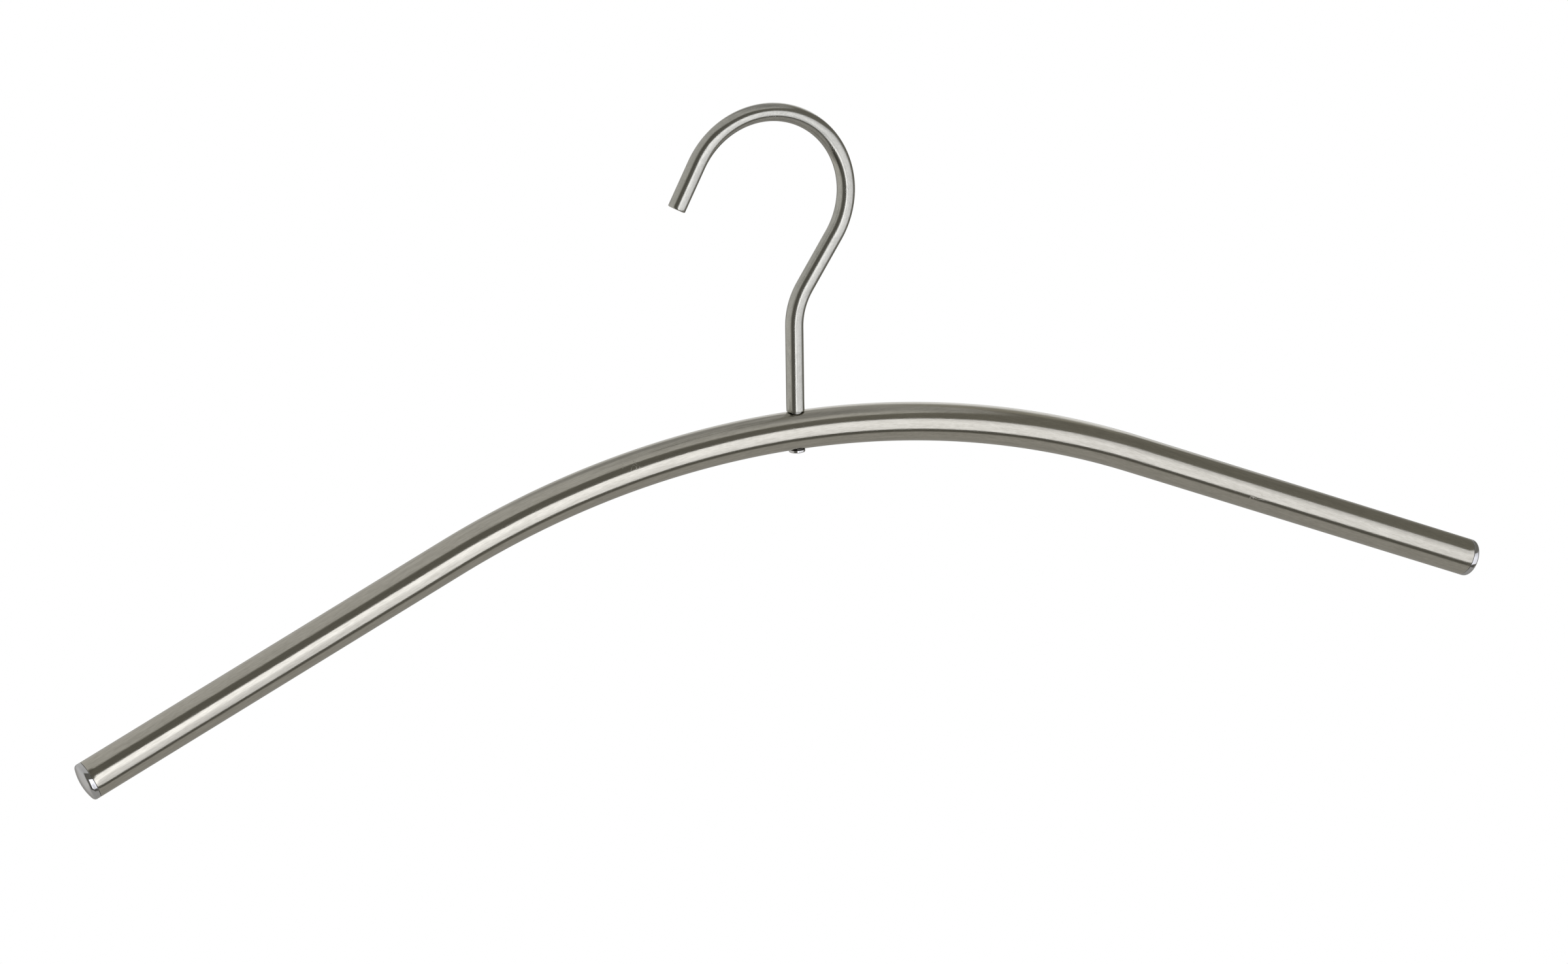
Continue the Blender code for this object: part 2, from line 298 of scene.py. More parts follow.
# The softbox: hottest near its left edge, weaker at its right end, and dimmer at its lower left, where the
# cloth over its lamp is doubled. Its top drops towards the right, and its foot rises a little there.
SOFTBOX_RADIUS = 2.0
SOFTBOX_STEP = 0.5
SOFTBOX_LEFT = -15
SOFTBOX_RIGHT = 85
SOFTBOX_TOP = 23.8
SOFTBOX_TOP_DROP = 0.085
SOFTBOX_FOOT = -35
SOFTBOX_FOOT_SLOPE = 0.4
SOFTBOX_FOOT_FLAT_TO = 20
SOFTBOX_FOOT_SLOPE_LENGTH = 12
SOFTBOX_EDGE = 1.5
SOFTBOX_TINT = np.array((1, 1, 1.03))
SOFTBOX_GLOW = 1.26
HOT_GAIN = 0.50
STREAK_GAIN = 0.25
DOUBLED_LOSS = 0.32
DOUBLED_TOP = -2
DOUBLED_DROP = 2
DOUBLED_FLAT_TO = 8.5
RIGHT_END_LOSS = 0.62
LOWER_RIGHT_LOSS = 0.06
UPPER_RIGHT_LOSS = 0.25
azimuth, elevation = sheet_grid(left=-27, right=92.5, foot=-39, top=35.5, step=SOFTBOX_STEP)
glow = SOFTBOX_GLOW + HOT_GAIN * bell(azimuth, middle=-4, width=27)
glow *= 1 + STREAK_GAIN * bell(azimuth, middle=-7, width=8) * patch(azimuth, elevation, top=(-5, 10))
glow *= 1 - RIGHT_END_LOSS * patch(azimuth, elevation, left=(60, 94))
doubled_top = DOUBLED_TOP - DOUBLED_DROP * np.maximum(azimuth - DOUBLED_FLAT_TO, 0)
glow *= 1 - DOUBLED_LOSS * patch(azimuth, elevation, left=(-8, 4), top=soft(doubled_top, 7))
glow *= 1 - LOWER_RIGHT_LOSS * patch(azimuth, elevation, left=(8, 20), top=(-12, 0))
glow *= 1 - UPPER_RIGHT_LOSS * patch(azimuth, elevation, left=(20, 46), foot=(0, 18))
softbox_top = SOFTBOX_TOP - SOFTBOX_TOP_DROP * azimuth
up_the_slope = np.clip(azimuth - SOFTBOX_FOOT_FLAT_TO, 0, SOFTBOX_FOOT_SLOPE_LENGTH)
softbox_foot = SOFTBOX_FOOT + SOFTBOX_FOOT_SLOPE * up_the_slope
cover = patch(azimuth, elevation, foot=soft(softbox_foot, SOFTBOX_EDGE), top=soft(softbox_top, SOFTBOX_EDGE))
cover *= patch(azimuth, elevation, left=soft(SOFTBOX_LEFT, 2), right=soft(SOFTBOX_RIGHT, 5))
mirrored_sheet("softbox", SOFTBOX_RADIUS, azimuth, elevation, glow, SOFTBOX_TINT, cover)

# The tent's grey walls: brighter at the left, dimmer at the right and behind the hanger, with a paler
# ceiling and a dim ground sheet.
TENT_RADIUS = 2.3
TENT_STEP = 1.5
WALL_GLOW = 0.60
UPPER_BACK_AZIMUTH = 165
UPPER_BACK_LOSS = 0.25
LOWER_BACK_LOSS = 0.26
LEFT_WALL_GAIN = 0.09
RIGHT_WALL_LOSS = 0.19
CEILING_GLOW = 0.56
CEILING_RIGHT_LOSS = 0.10
GROUND_GLOW = 0.41
GROUND_BACK_LOSS = 0.03
WINDOW_AZIMUTH = 152
azimuth, elevation = sheet_grid(left=-180, right=180, foot=-90, top=90, step=TENT_STEP)
from_window = degrees_from(azimuth, WINDOW_AZIMUTH)
from_upper_back = degrees_from(azimuth, UPPER_BACK_AZIMUTH)
glow = WALL_GLOW - UPPER_BACK_LOSS * patch(from_upper_back, elevation, right=(8, 30), foot=(20, 40))
glow -= LOWER_BACK_LOSS * patch(from_window, elevation, right=(35, 60), top=(-10, 10))
glow += LEFT_WALL_GAIN * patch(azimuth, elevation, left=(-160, -130), right=(-70, -50), top=(10, 40))
ceiling = CEILING_GLOW - CEILING_RIGHT_LOSS * patch(azimuth, elevation, left=(20, 80), right=(155, 180))
glow = laid_over(glow, ceiling, patch(azimuth, elevation, foot=(56, 66)))
glow -= RIGHT_WALL_LOSS * patch(azimuth, elevation, left=(50, 78), right=(133, 150), top=(60, 78))
ground = GROUND_GLOW - GROUND_BACK_LOSS * patch(from_window, elevation, right=(30, 60))
glow = laid_over(glow, ground, patch(azimuth, elevation, top=(-44, -34)))

# The brown-black cloth round the softbox: darkest in a strip under it and at its left, and paler to the right
# and in the upper corner there. Its left edge is softer above than below.
CLOTH_LEFT_FROM = -80
CLOTH_LEFT_TO = -68
CLOTH_LEFT_SOFTER = 14
CLOTH_FOOT = -49
CLOTH_FOOT_RISE = 14
CLOTH_TOP = 61
CLOTH_TOP_DROP = 13
CLOTH_GLOW = 0.155
CLOTH_RIGHT_GAIN = 0.05
CLOTH_CORNER_GAIN = 0.15
CLOTH_STRIP_GLOW = 0.11
CLOTH_LEFT_LOSS = 0.15
CLOTH_LOWER_LEFT_LOSS = 0.40
cloth_left_to = CLOTH_LEFT_TO + CLOTH_LEFT_SOFTER * patch(azimuth, elevation, foot=(-34, -22))
cloth_foot = CLOTH_FOOT + CLOTH_FOOT_RISE * patch(azimuth, elevation, left=(60, 80))
cloth_top = CLOTH_TOP - CLOTH_TOP_DROP * patch(azimuth, elevation, left=(10, 48))
cloth = patch(azimuth, elevation, left=(CLOTH_LEFT_FROM, cloth_left_to), right=(126, 142))
cloth *= patch(azimuth, elevation, foot=soft(cloth_foot, 1.5), top=soft(cloth_top, 2))
cloth_glow = CLOTH_GLOW + CLOTH_RIGHT_GAIN * patch(azimuth, elevation, left=(15, 45))
strip = patch(azimuth, elevation, left=(-26, -20), right=(22, 60), top=(-37, -33))
cloth_glow = laid_over(cloth_glow, CLOTH_STRIP_GLOW, strip)
left_loss = CLOTH_LEFT_LOSS + CLOTH_LOWER_LEFT_LOSS * patch(azimuth, elevation, top=(-34, -24))
cloth_glow *= 1 - left_loss * patch(azimuth, elevation, right=(-45, -22))
cloth_glow += CLOTH_CORNER_GAIN * patch(azimuth, elevation, left=(100, 118), foot=(28, 36))
glow = laid_over(glow, cloth_glow, cloth)

# The window on to the white backdrop is cut out of the tent. Its left edge leans, and its other edges are
# soft. The grey is warm, less so above, and the cloth is browner.
WINDOW_LEFT = 135.2
WINDOW_LEFT_HEIGHT = 14
WINDOW_LEAN = 0.8
GREY_TINT = np.array((1, 0.970, 0.910))
UPPER_TINT_GAIN = np.array((0, 0.015, 0.035))
CLOTH_TINT = np.array((1, 0.960, 0.830))
past_left = azimuth - WINDOW_LEFT + WINDOW_LEAN * (elevation - WINDOW_LEFT_HEIGHT)
window = patch(past_left, elevation, left=(-4, 2), foot=(-14, 4), top=(21, 38))
window *= patch(azimuth, elevation, right=(146, 176))
grey_tint = GREY_TINT + UPPER_TINT_GAIN * patch(azimuth, elevation, foot=(-30, 0))[..., None]
tint = laid_over(grey_tint, CLOTH_TINT, cloth[..., None])
mirrored_sheet("grey_tent", TENT_RADIUS, azimuth, elevation, glow, tint, 1 - window)

# The arched tube
# A 12 mm stainless tube with a 1 mm wall, brushed along its length on a belt and then bent to one wide arc
# with a straight arm at each end. Its ends are sawn square and deburred, and a cross hole through both walls
# at the crown takes the swivel.
TUBE_RADIUS = 0.0060
BORE_RADIUS = 0.0050
ARCH_RADIUS = 0.2880
ARCH_HALF_ANGLE = math.radians(23.5)
ARM_LENGTH = 0.1290
TUBE_STEP = 0.0020
TUBE_SIDES = 80
TUBE_EDGE = 0.00012
EDGE_STEPS = 4
HOLE_RADIUS = 0.0022
HOLE_SIDES = 64
DRILL_REACH = 2 * TUBE_RADIUS
NEAR_HOLE = 0.008
SKIN_COSINE = 0.9
SHARP_ANGLE = math.radians(30)
MERGE_DISTANCE = 1e-6
TURNED_WIDTH_SHARE = 0.1
MARK_ROUGHNESS = 0.5
crown = Vector(frame["joints"][0]["pos_m"])


def bent_line(start, slope, moves, step):
    """The centre line of a bent bar in the XZ plane: its (x, z) points, its slope at each, and the metres
    along. A move is (length, radius), and a radius of 0 is a straight. Along an arc the slope changes by
    length / radius, to the left for a positive radius, and the point goes round the arc's middle."""
    points, slopes, metres = [np.array([start], float)], [np.array([slope], float)], [np.zeros(1)]
    for length, radius in moves:
        count = max(1, math.ceil(length / step))
        run = np.linspace(0, length, count + 1)[1:]
        x, z = points[-1][-1]
        slope = slopes[-1][-1]
        if radius:
            now = slope + run / radius
            x = x + radius * (np.sin(now) - np.sin(slope))
            z = z - radius * (np.cos(now) - np.cos(slope))
        else:
            now = np.full(count, slope)
            x = x + run * np.cos(slope)
            z = z + run * np.sin(slope)
        points.append(np.stack((x, z), axis=-1))
        slopes.append(now)
        metres.append(metres[-1][-1] + run)
    return np.concatenate(points), np.concatenate(slopes), np.concatenate(metres)


def rounded_corner(corner, before, after, radius, steps):
    """Points of a profile's rounded corner: a quarter of a circle that leaves the corner's first side a
    radius before it and meets the second a radius after it. Before and after are the sides' directions:
    corner - radius before (1 - sin a) + radius after (1 - cos a)."""
    angle = np.linspace(0, math.pi / 2, steps + 1)[:, None]
    back_off = radius * np.array(before) * (1 - np.sin(angle))
    move_on = radius * np.array(after) * (1 - np.cos(angle))
    return np.array(corner) - back_off + move_on


def bar_skin(name, route, profile, sides):
    """A closed skin along a bent centre line, from a profile of (metres along, radius). Each profile point
    becomes a circle of its radius round the line there, square to the line's slope: middle + radius (cos a
    side + sin a above). The attribute straight is each point's place on the bar before it was bent."""
    line, slope, metres = route
    along, radius = profile[:, :1], profile[:, 1:]
    lean = np.interp(along, metres, slope)
    angle = np.linspace(0, 2 * math.pi, sides, endpoint=False)
    side, above = radius * np.cos(angle), radius * np.sin(angle)
    x = np.interp(along, metres, line[:, 0]) - above * np.sin(lean)
    z = np.interp(along, metres, line[:, 1]) + above * np.cos(lean)
    straight = np.stack(np.broadcast_arrays(side, above, along), axis=-1)
    return finished_skin(name, np.stack((x, side, z), axis=-1), straight)


def turned_skin(name, rings, middle, axis):
    """A closed skin turned about an axis through the middle, from rings of (height, radius at each angle).
    The angle starts at the Y axis: middle + height axis + radius (cos a side + sin a above). The attribute
    straight has the metres along the profile as its length, and the width by TURNED_WIDTH_SHARE alone, so
    that the grain on it runs round the piece."""
    height, radius = rings
    angle = np.linspace(0, 2 * math.pi, radius.shape[1], endpoint=False)
    axis = np.array(axis)
    side = np.array((0, 1, 0))
    above = np.cross(axis, side)
    across, over = (radius * np.cos(angle))[..., None], (radius * np.sin(angle))[..., None]
    points = np.array(middle) + height[:, None, None] * axis + across * side + over * above
    walked = np.concatenate(([0], np.cumsum(np.hypot(np.diff(height), np.diff(radius[:, 0])))))
    walked = np.broadcast_to(walked[:, None, None], across.shape)
    straight = np.concatenate((across * TURNED_WIDTH_SHARE, over * TURNED_WIDTH_SHARE, walked), axis=-1)
    return finished_skin(name, points, straight)


def finished_skin(name, points, straight):
    """The mesh over closed rings of points, with the attribute straight and a UV map of the share of the way
    round and the metres along. Points that lie on each other are merged, so poles close, all faces are turned
    outwards, and edges over SHARP_ANGLE stay sharp."""
    mesh = grid_mesh(name, points, closed=True)
    columns = points.shape[1]
    set_attribute(mesh, "straight", "FLOAT_VECTOR", "vector", straight)
    share = np.arange(columns + 1) / columns
    along = straight[:, 0, 2]
    u = np.stack((share[:-1], share[1:], share[1:], share[:-1]), axis=-1)
    v = np.stack((along[:-1], along[:-1], along[1:], along[1:]), axis=-1)
    u, v = np.broadcast_arrays(u[None], v[:, None])
    wrap = np.stack((u, v), axis=-1).astype(np.float32)
    mesh.uv_layers.new(name="wrap").data.foreach_set("uv", wrap.ravel())
    shape = bmesh.new()
    shape.from_mesh(mesh)
    bmesh.ops.remove_doubles(shape, verts=shape.verts, dist=MERGE_DISTANCE)
    bmesh.ops.recalc_face_normals(shape, faces=shape.faces)
    shape.to_mesh(mesh)
    shape.free()
    mesh.shade_smooth()
    mesh.set_sharp_from_angle(angle=SHARP_ANGLE)
    return mesh


def new_group(name, inputs, outputs):
    """A node group with those named inputs, each with its kind and value, and those named outputs."""
    made = bpy.data.node_groups.new(name, "ShaderNodeTree")
    for title, kind, value in inputs:
        made.interface.new_socket(title, in_out="INPUT", socket_type=kind).default_value = value
    for title, kind in outputs:
        made.interface.new_socket(title, in_out="OUTPUT", socket_type=kind)
    return made, made.nodes.new("NodeGroupInput"), made.nodes.new("NodeGroupOutput")


# Grain is a noise drawn out into lines: its place is scaled by Across and Along separately, and a broader
# noise four times as wide is laid over it. Lines runs from 0 to 1 over the middle of the noise's range.
# A Mix node has its factor at input 0, two numbers at 2 and 3 or two colours at 6 and 7. The mixed number
# comes out at output 0 and the mixed colour at output 2.
GRAIN_LOW = 0.34
GRAIN_HIGH = 0.66
BROAD_SCALE = 0.25
BROAD_SHARE = 0.45
grain, source, sink = new_group(
    "drawn_grain",
    [
        ("Place", "NodeSocketVector", (0, 0, 0)),
        ("Across", "NodeSocketFloat", 3000.0),
        ("Along", "NodeSocketFloat", 60.0),
        ("Dark", "NodeSocketColor", (0.45, 0.45, 0.45, 1)),
        ("Light", "NodeSocketColor", (0.55, 0.55, 0.55, 1)),
        ("Smooth", "NodeSocketFloat", 0.18),
        ("Rough", "NodeSocketFloat", 0.24),
    ],
    [("Colour", "NodeSocketColor"), ("Roughness", "NodeSocketFloat"), ("Lines", "NodeSocketFloat")],
)
scale = add(grain, "ShaderNodeCombineXYZ")
grain.links.new(source.outputs["Across"], scale.inputs["X"])
grain.links.new(source.outputs["Across"], scale.inputs["Y"])
grain.links.new(source.outputs["Along"], scale.inputs["Z"])
spread = add(grain, "ShaderNodeVectorMath", operation="MULTIPLY")
grain.links.new(source.outputs["Place"], spread.inputs[0])
grain.links.new(scale.outputs[0], spread.inputs[1])
fine = add(grain, "ShaderNodeTexNoise", Scale=1.0, Detail=3.0, Roughness=0.6)
broad = add(grain, "ShaderNodeTexNoise", Scale=BROAD_SCALE, Detail=2.0, Roughness=0.5)
grain.links.new(spread.outputs[0], fine.inputs["Vector"])
grain.links.new(spread.outputs[0], broad.inputs["Vector"])
both = add(grain, "ShaderNodeMix", data_type="FLOAT", Factor=BROAD_SHARE)
grain.links.new(fine.outputs["Fac"], both.inputs[2])
grain.links.new(broad.outputs["Fac"], both.inputs[3])
lines = add(grain, "ShaderNodeMapRange", From_Min=GRAIN_LOW, From_Max=GRAIN_HIGH)
grain.links.new(both.outputs[0], lines.inputs["Value"])
tone = add(grain, "ShaderNodeMix", data_type="RGBA")
grain.links.new(lines.outputs["Result"], tone.inputs[0])
grain.links.new(source.outputs["Dark"], tone.inputs[6])
grain.links.new(source.outputs["Light"], tone.inputs[7])
grain.links.new(tone.outputs[2], sink.inputs["Colour"])
rough = add(grain, "ShaderNodeMix", data_type="FLOAT")
grain.links.new(lines.outputs["Result"], rough.inputs[0])
grain.links.new(source.outputs["Rough"], rough.inputs[2])
grain.links.new(source.outputs["Smooth"], rough.inputs[3])
grain.links.new(rough.outputs[0], sink.inputs["Roughness"])
grain.links.new(lines.outputs["Result"], sink.inputs["Lines"])


# Marks are the hairlines and specks of handling: thin lines where a noise passes its middle value, kept only
# where a broader noise is over Share, so a higher Share keeps fewer. Marks runs from 0 to 1.
MARK_MIDDLE = 0.5
MARK_WIDTH = 0.012
MARK_FADE = 0.12
MARK_PATCH_SCALE = 0.37
marks, source, sink = new_group(
    "handling_marks",
    [
        ("Place", "NodeSocketVector", (0, 0, 0)),
        ("Scale", "NodeSocketFloat", 300.0),
        ("Share", "NodeSocketFloat", 0.5),
    ],
    [("Marks", "NodeSocketFloat")],
)
wander = add(marks, "ShaderNodeTexNoise", Detail=2.0, Roughness=0.5, Distortion=1.2)
middle_line = add(marks, "ShaderNodeMath", operation="SUBTRACT")
middle_line.inputs[1].default_value = MARK_MIDDLE
off_line = add(marks, "ShaderNodeMath", operation="ABSOLUTE")
thin = add(marks, "ShaderNodeMapRange", From_Max=MARK_WIDTH, To_Min=1.0, To_Max=0.0)
patch_scale = add(marks, "ShaderNodeMath", operation="MULTIPLY")
patch_scale.inputs[1].default_value = MARK_PATCH_SCALE
patches = add(marks, "ShaderNodeTexNoise", Detail=1.0)
kept = add(marks, "ShaderNodeMapRange", interpolation_type="SMOOTHSTEP")
top = add(marks, "ShaderNodeMath", operation="ADD")
top.inputs[1].default_value = MARK_FADE
lined = add(marks, "ShaderNodeMath", operation="MULTIPLY")
marks.links.new(source.outputs["Place"], wander.inputs["Vector"])
marks.links.new(source.outputs["Scale"], wander.inputs["Scale"])
marks.links.new(wander.outputs["Fac"], middle_line.inputs[0])
marks.links.new(middle_line.outputs[0], off_line.inputs[0])
marks.links.new(off_line.outputs[0], thin.inputs["Value"])
marks.links.new(source.outputs["Scale"], patch_scale.inputs[0])
marks.links.new(source.outputs["Place"], patches.inputs["Vector"])
marks.links.new(patch_scale.outputs[0], patches.inputs["Scale"])
marks.links.new(patches.outputs["Fac"], kept.inputs["Value"])
marks.links.new(source.outputs["Share"], kept.inputs["From Min"])
marks.links.new(source.outputs["Share"], top.inputs[0])
marks.links.new(top.outputs[0], kept.inputs["From Max"])
marks.links.new(thin.outputs["Result"], lined.inputs[0])
marks.links.new(kept.outputs["Result"], lined.inputs[1])
marks.links.new(lined.outputs[0], sink.inputs["Marks"])


def metal(name, across, along, dark, light, smooth, rough, anisotropy, depth, mark_scale, mark_share):
    """A metal with drawn or turned grain and handling marks on it, read from the piece's attribute straight.
    The grain is scaled by across and along, its lines run from dark and rough to light and smooth, and they
    are depth deep. Anisotropy stretches the metal's mirror."""
    made, tree, sink = new_material(name)
    place = add(tree, "ShaderNodeAttribute", attribute_name="straight").outputs["Vector"]
    lines = add(tree, "ShaderNodeGroup", node_tree=grain)
    lines.inputs["Across"].default_value = across
    lines.inputs["Along"].default_value = along
    lines.inputs["Dark"].default_value = (*dark, 1)
    lines.inputs["Light"].default_value = (*light, 1)
    lines.inputs["Smooth"].default_value = smooth
    lines.inputs["Rough"].default_value = rough
    hairs = add(tree, "ShaderNodeGroup", node_tree=marks)
    hairs.inputs["Scale"].default_value = mark_scale
    hairs.inputs["Share"].default_value = mark_share
    scuffed = add(tree, "ShaderNodeMix", data_type="FLOAT")
    scuffed.inputs[3].default_value = MARK_ROUGHNESS
    scratched = add(tree, "ShaderNodeMath", operation="SUBTRACT", use_clamp=False)
    bump = add(tree, "ShaderNodeBump", Strength=1.0, Distance=depth)
    shader = add(tree, "ShaderNodeBsdfPrincipled", Metallic=1.0, Anisotropic=anisotropy)
    tree.links.new(place, lines.inputs["Place"])
    tree.links.new(place, hairs.inputs["Place"])
    tree.links.new(lines.outputs["Colour"], shader.inputs["Base Color"])
    tree.links.new(hairs.outputs["Marks"], scuffed.inputs[0])
    tree.links.new(lines.outputs["Roughness"], scuffed.inputs[2])
    tree.links.new(scuffed.outputs[0], shader.inputs["Roughness"])
    tree.links.new(lines.outputs["Lines"], scratched.inputs[0])
    tree.links.new(hairs.outputs["Marks"], scratched.inputs[1])
    tree.links.new(scratched.outputs[0], bump.inputs["Height"])
    tree.links.new(bump.outputs["Normal"], shader.inputs["Normal"])
    tree.links.new(shader.outputs["BSDF"], sink.inputs["Surface"])
    if anisotropy:
        tangent = add(tree, "ShaderNodeTangent", direction_type="UV_MAP", uv_map="wrap")
        tree.links.new(tangent.outputs["Tangent"], shader.inputs["Tangent"])
    return made


def dress(name, mesh, material, body, node):
    """Shows the mesh as a piece that stands for a CAD node, moves with its body and has its material slot."""
    piece = new_object(name, mesh, material)
    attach(piece, body)
    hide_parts(node)
    return piece


arc_length = ARCH_RADIUS * ARCH_HALF_ANGLE
tube_length = 2 * (arc_length + ARM_LENGTH)
arm_end = (
    ARCH_RADIUS * math.sin(ARCH_HALF_ANGLE) + ARM_LENGTH * math.cos(ARCH_HALF_ANGLE),
    -ARCH_RADIUS * (1 - math.cos(ARCH_HALF_ANGLE)) - ARM_LENGTH * math.sin(ARCH_HALF_ANGLE),
)
tube_route = bent_line(
    (crown.x - arm_end[0], crown.z + arm_end[1]),
    ARCH_HALF_ANGLE,
    [(ARM_LENGTH, 0), (2 * arc_length, -ARCH_RADIUS), (ARM_LENGTH, 0)],
    TUBE_STEP,
)
# The outside from left to right, the right end, the bore back to the left, and the left end
inner = tube_route[2][1:-1, None]
outside = np.concatenate((inner, np.full_like(inner, TUBE_RADIUS)), axis=-1)
bore = np.concatenate((inner[::-1], np.full_like(inner, BORE_RADIUS)), axis=-1)
profile = np.concatenate((
    outside,
    rounded_corner((tube_length, TUBE_RADIUS), (1, 0), (0, -1), TUBE_EDGE, EDGE_STEPS),
    rounded_corner((tube_length, BORE_RADIUS), (0, -1), (-1, 0), TUBE_EDGE, EDGE_STEPS),
    bore,
    rounded_corner((0, BORE_RADIUS), (-1, 0), (0, 1), TUBE_EDGE, EDGE_STEPS),
    rounded_corner((0, TUBE_RADIUS), (0, 1), (1, 0), TUBE_EDGE, EDGE_STEPS),
    outside[:1],
))
brushed_tube = metal(
    "brushed_tube",
    across=3600.0,
    along=500.0,
    dark=(0.460, 0.444, 0.397),
    light=(0.570, 0.552, 0.499),
    smooth=0.10,
    rough=0.15,
    anisotropy=0.3,
    depth=0.000005,
    mark_scale=120.0,
    mark_share=0.60,
)
tube_mesh = bar_skin("arch_tube_brushed", tube_route, profile, TUBE_SIDES)
tube = dress("arch_tube_brushed", tube_mesh, brushed_tube, "arch", "arch_tube")
drill_height = np.array((-1, -1, 1, 1)) * DRILL_REACH
drill_radius = np.array((0, 1, 1, 0))[:, None] * np.full(HOLE_SIDES, HOLE_RADIUS)
drill_mesh = turned_skin("drill", (drill_height, drill_radius), crown, (0, 0, 1))
drill = bpy.data.objects.new("drill", drill_mesh)
bpy.context.scene.collection.objects.link(drill)
cross_hole = tube.modifiers.new("cross_hole", "BOOLEAN")
cross_hole.operation = "DIFFERENCE"
cross_hole.solver = "EXACT"
cross_hole.object = drill
bpy.context.view_layer.update()
drilled = bpy.data.meshes.new_from_object(tube.evaluated_get(bpy.context.evaluated_depsgraph_get()))
tube.modifiers.clear()
tube.data = drilled
drilled.shade_smooth()
drilled.set_sharp_from_angle(angle=SHARP_ANGLE)
bpy.data.objects.remove(drill)
# The cut leaves long thin faces round the hole. Near it the attribute straight is worked out again from where
# each point lies round the arc's middle, and a corner of a face that looks out from the centre line or in
# towards it, within SKIN_COSINE, is shaded square to that line.
place = np.empty((len(drilled.vertices), 3), np.float32)
drilled.vertices.foreach_get("co", place.ravel())
place -= (crown.x, 0, crown.z - ARCH_RADIUS)
near = np.abs(place[:, 0]) < NEAR_HOLE
reach = np.hypot(place[:, 0], place[:, 2])
straight = np.empty((len(drilled.vertices), 3), np.float32)
drilled.attributes["straight"].data.foreach_get("vector", straight.ravel())
metres = tube_length / 2 + ARCH_RADIUS * np.arctan2(place[:, 0], place[:, 2])
on_bar = np.stack((place[:, 1], reach - ARCH_RADIUS, metres), axis=-1)
straight[near] = on_bar[near]
drilled.attributes["straight"].data.foreach_set("vector", straight.ravel())
off_line_share = 1 - ARCH_RADIUS / reach
outward = place * np.stack((off_line_share, np.ones_like(reach), off_line_share), axis=-1)
outward /= np.linalg.norm(outward, axis=1, keepdims=True)
corner = np.empty(len(drilled.loops), np.int32)
drilled.loops.foreach_get("vertex_index", corner)
facing = np.empty((len(drilled.polygons), 3), np.float32)
drilled.polygons.foreach_get("normal", facing.ravel())
sides = np.empty(len(drilled.polygons), np.int32)
drilled.polygons.foreach_get("loop_total", sides)
agree = (outward[corner] * np.repeat(facing, sides, axis=0)).sum(axis=1)
on_skin = near[corner] & (np.abs(agree) > SKIN_COSINE)
drilled.normals_split_custom_set(np.where(on_skin[:, None], outward[corner] * np.sign(agree)[:, None], 0))

# The end caps
# Turned from bar to the tube's width, polished and chromed. A spigot is pushed into the tube's bore, and the
# lip outside has a straight side, a rounded edge and a low dome.
CAP_RADIUS = 0.00601
CAP_SIDE = 0.0011
CAP_EDGE = 0.0011
CAP_RISE = 0.0008
CAP_SEAM = 0.0001
CAP_SEAM_EDGE = 0.00008
SPIGOT_RADIUS = 0.0049
SPIGOT_LENGTH = 0.0080
SPIGOT_CHAMFER = 0.0006
CAP_SIDES = 96
DOME_STEPS = 16
CAP_EDGE_STEPS = 14


def arc_points(middle, radius, start, stop, steps):
    """Points (height, radius) of an arc in a profile: middle + radius (cos a, sin a). Its angle a is 0 along
    the axis and runs out to the side."""
    angle = np.linspace(start, stop, steps + 1)
    return np.stack((middle[0] + radius * np.cos(angle), middle[1] + radius * np.sin(angle)), axis=-1)


def round_rings(profile, sides):
    """Rings for turned_skin from a profile of (height, radius) points: the same radius at each angle."""
    profile = np.asarray(profile)
    return profile[:, 0], np.repeat(profile[:, 1:], sides, axis=1)


shoulder = CAP_SEAM + CAP_SIDE
edge_middle = CAP_RADIUS - CAP_EDGE
crown_height = CAP_EDGE + CAP_RISE
# The dome is the ball that touches the edge's rounding and stands CAP_RISE over it
ball = (edge_middle**2 + crown_height**2 - CAP_EDGE**2) / (2 * CAP_RISE)
meet = math.atan2(edge_middle, ball - crown_height)
cap_profile = np.concatenate((
    arc_points((shoulder + crown_height - ball, 0), ball, 0, meet, DOME_STEPS),
    arc_points((shoulder, edge_middle), CAP_EDGE, meet, math.pi / 2, CAP_EDGE_STEPS)[1:],
    rounded_corner((CAP_SEAM, CAP_RADIUS), (-1, 0), (0, -1), CAP_SEAM_EDGE, EDGE_STEPS),
    [
        (CAP_SEAM, SPIGOT_RADIUS),
        (SPIGOT_CHAMFER - SPIGOT_LENGTH, SPIGOT_RADIUS),
        (-SPIGOT_LENGTH, SPIGOT_RADIUS - SPIGOT_CHAMFER),
        (-SPIGOT_LENGTH, 0),
    ],
))
polished_cap = metal(
    "polished_cap",
    across=300.0,
    along=2500.0,
    dark=(0.560, 0.565, 0.585),
    light=(0.625, 0.630, 0.650),
    smooth=0.06,
    rough=0.10,
    anisotropy=0.0,
    depth=0.000004,
    mark_scale=500.0,
    mark_share=0.56,
)
for name, side in (("end_cap_left", -1), ("end_cap_right", 1)):
    middle = crown + Vector((side * arm_end[0], 0, arm_end[1]))
    outward = (side * math.cos(ARCH_HALF_ANGLE), 0, -math.sin(ARCH_HALF_ANGLE))
    cap_mesh = turned_skin(name + "_polished", round_rings(cap_profile, CAP_SIDES), middle, outward)
    dress(name + "_polished", cap_mesh, polished_cap, "arch", name)

